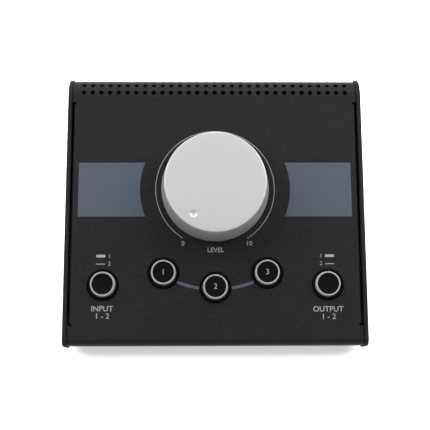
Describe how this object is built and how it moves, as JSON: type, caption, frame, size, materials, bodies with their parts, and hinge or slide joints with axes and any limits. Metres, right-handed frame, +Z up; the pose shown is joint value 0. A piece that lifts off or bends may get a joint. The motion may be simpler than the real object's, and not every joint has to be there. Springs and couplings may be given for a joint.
{
  "type": "studio monitor controller",
  "caption": "Wedge-shaped desktop audio controller in black sheet steel with a large aluminium volume knob, round push buttons and rear jack sockets.",
  "frame": {"origin": "middle of the footprint, on the table under the feet", "axes": "+X the width, to the user's right; the front faces -Y and the sockets +Y; +Z up"},
  "size_m": [0.14, 0.127, 0.0633],
  "materials": {
    "powder_coat": "fine-grained matt black powder coat on sheet steel",
    "black_screws": "black oxide",
    "zinc_steel": "zinc plated",
    "rubber": "matt",
    "satin_aluminium": "bead blasted, clear anodised",
    "black_plastic": "moulded",
    "brass": "turned",
    "green_plastic": "moulded",
    "board": "green solder resist",
    "resistor": "lacquered",
    "nickel": "nickel plated",
    "ribbon": "grey PVC",
    "cap_plastic": "moulded, fine texture",
    "ring_plastic": "translucent white",
    "plunger_plastic": "moulded",
    "spring_steel": "drawn wire",
    "switch_plastic": "moulded",
    "print_ink": "screen-printed light grey ink",
    "field_ink": "screen-printed blue-grey ink"
  },
  "bodies": {
    "chassis": {"top_cover": "powder_coat", "base_pan": "powder_coat", "rear_panel": "powder_coat", "left_cheek": "powder_coat", "right_cheek": "powder_coat", "cheek_screws": "black_screws", "rear_screws": "black_screws", "foot_screws": "zinc_steel", "control_board_screws": "zinc_steel", "jack_board_screws": "zinc_steel", "rubber_feet": "rubber", "pot_housing": "green_plastic", "pot_bushing": "brass", "pot_washer": "zinc_steel", "pot_nut": "zinc_steel", "control_board": "board", "pad_resistors": "resistor", "board_pillars": "zinc_steel", "jack_board": "board", "jack_nuts": "nickel", "mini_jack_nut": "nickel", "ribbon_cable": "ribbon", "ribbon_headers": "black_plastic", "mini_input_jack": "black_plastic", "output_b_right_jack": "black_plastic", "output_b_left_jack": "black_plastic", "output_a_right_jack": "black_plastic", "output_a_left_jack": "black_plastic", "input_b_right_jack": "black_plastic", "input_b_left_jack": "black_plastic", "input_a_right_jack": "black_plastic", "input_a_left_jack": "black_plastic", "input_select_switch": "switch_plastic", "mono_switch": "switch_plastic", "mute_switch": "switch_plastic", "dim_switch": "switch_plastic", "output_select_switch": "switch_plastic", "input_select_spring": "spring_steel", "mono_spring": "spring_steel", "mute_spring": "spring_steel", "dim_spring": "spring_steel", "output_select_spring": "spring_steel"},
    "volume": {"volume_knob": "satin_aluminium", "knob_insert": "black_plastic", "pot_shaft": "zinc_steel"},
    "input_select": {"input_select_cap": "cap_plastic", "input_select_ring": "ring_plastic", "input_select_plunger": "plunger_plastic"},
    "mono": {"mono_cap": "cap_plastic", "mono_ring": "ring_plastic", "mono_plunger": "plunger_plastic"},
    "mute": {"mute_cap": "cap_plastic", "mute_ring": "ring_plastic", "mute_plunger": "plunger_plastic"},
    "dim": {"dim_cap": "cap_plastic", "dim_ring": "ring_plastic", "dim_plunger": "plunger_plastic"},
    "output_select": {"output_select_cap": "cap_plastic", "output_select_ring": "ring_plastic", "output_select_plunger": "plunger_plastic"}
  },
  "joints": [
    {"name": "volume_turn", "type": "hinge", "parent": "chassis", "child": "volume", "pos_m": [0, 0.00464, 0.04041], "axis": [0, 0.342, -0.9397], "range_deg": [0, 294]},
    {"name": "input_select_press", "type": "slide", "parent": "chassis", "child": "input_select", "axis": [0, 0.342, -0.9397], "range_m": [0, 0.002], "stiffness_N_per_m": 300, "springref_m": -0.002, "deforming": ["input_select_spring"]},
    {"name": "mono_press", "type": "slide", "parent": "chassis", "child": "mono", "axis": [0, 0.342, -0.9397], "range_m": [0, 0.002], "stiffness_N_per_m": 300, "springref_m": -0.002, "deforming": ["mono_spring"]},
    {"name": "mute_press", "type": "slide", "parent": "chassis", "child": "mute", "axis": [0, 0.342, -0.9397], "range_m": [0, 0.002], "stiffness_N_per_m": 300, "springref_m": -0.002, "deforming": ["mute_spring"]},
    {"name": "dim_press", "type": "slide", "parent": "chassis", "child": "dim", "axis": [0, 0.342, -0.9397], "range_m": [0, 0.002], "stiffness_N_per_m": 300, "springref_m": -0.002, "deforming": ["dim_spring"]},
    {"name": "output_select_press", "type": "slide", "parent": "chassis", "child": "output_select", "axis": [0, 0.342, -0.9397], "range_m": [0, 0.002], "stiffness_N_per_m": 300, "springref_m": -0.002, "deforming": ["output_select_spring"]}
  ]
}
